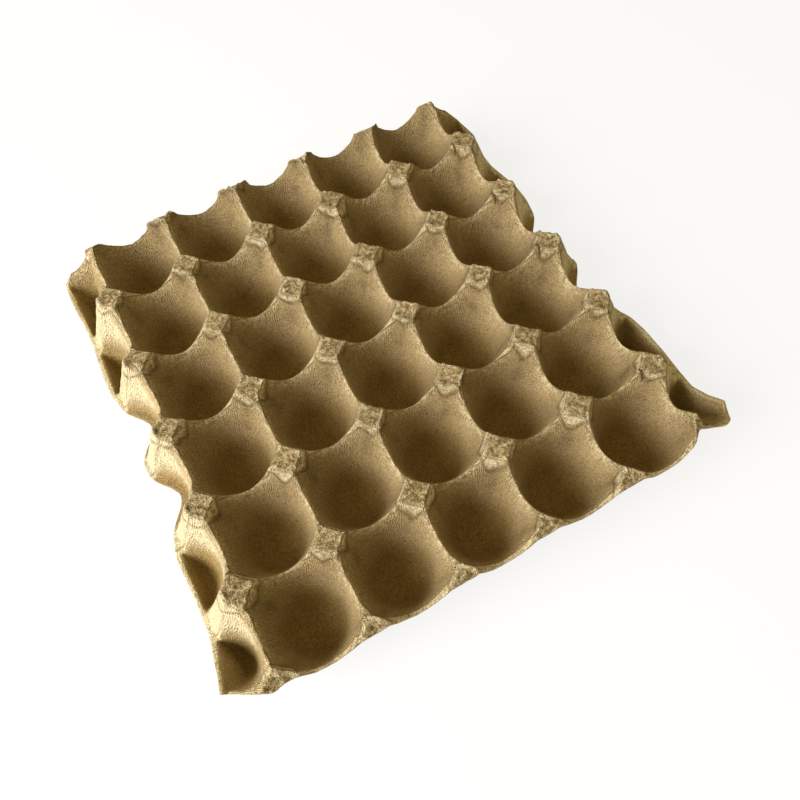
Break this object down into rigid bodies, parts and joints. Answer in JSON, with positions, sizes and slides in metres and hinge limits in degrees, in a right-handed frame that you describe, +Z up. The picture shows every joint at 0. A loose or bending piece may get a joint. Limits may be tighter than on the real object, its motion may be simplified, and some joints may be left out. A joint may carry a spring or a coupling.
{
  "type": "moulded pulp egg tray",
  "caption": "Square moulded pulp egg tray with rows of round cups between hollow posts, flanged sides with finger notches, and open cut ends.",
  "frame": {"origin": "middle of the tray, in the plane of the undersides of the cups that it stands on", "axes": "+X across the short rows of cups, +Y along the long rows towards the far edge, +Z up out of the cups"},
  "size_m": [0.297, 0.294, 0.0485],
  "materials": {
    "pulp": "rough matte grey brown moulded paper pulp"
  },
  "bodies": {
    "root": {"egg_tray": "pulp"}
  },
  "joints": []
}
